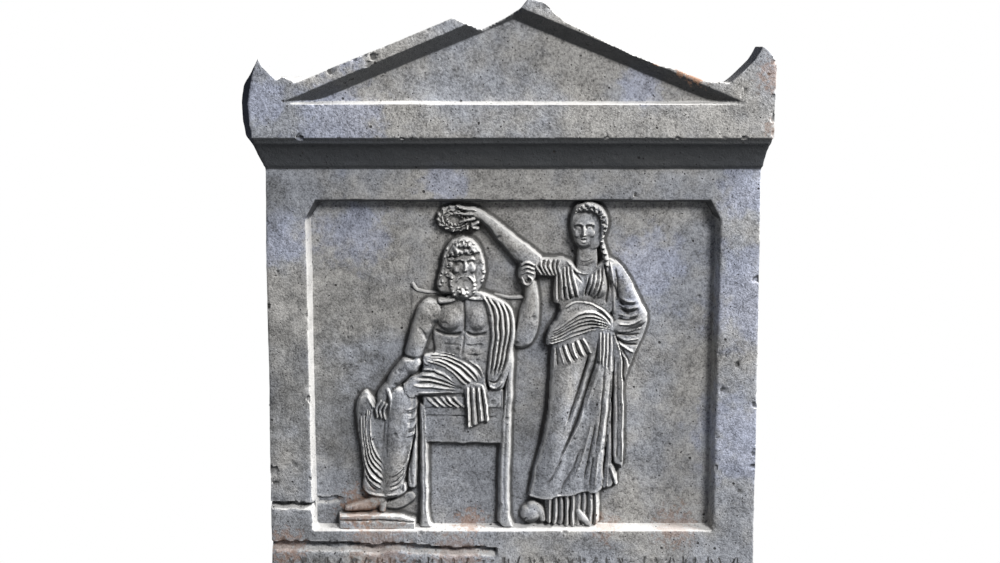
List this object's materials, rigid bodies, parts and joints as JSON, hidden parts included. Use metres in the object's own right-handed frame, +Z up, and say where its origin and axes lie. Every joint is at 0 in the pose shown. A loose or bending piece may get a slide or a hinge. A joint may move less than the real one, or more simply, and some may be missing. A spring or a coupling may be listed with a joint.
{
  "type": "carved stone stele",
  "caption": "Tall tapering slab of weathered stone with a small broken gable, a framed panel in low relief and rows of cut strokes, set in the socket of a plain low plinth.",
  "frame": {"origin": "centre of the plinth's underside, where the object stands", "axes": "+Z up, the carved face looks along -Y, +X is to the right of someone facing it"},
  "size_m": [0.6, 0.28, 1.6765],
  "materials": {
    "stele_stone": "weathered grey marble, matt, pitted, with rusty stains",
    "plinth_stone": "plain dressed grey stone, matt"
  },
  "bodies": {
    "root": {"stele": "stele_stone", "plinth": "plinth_stone"}
  },
  "joints": []
}
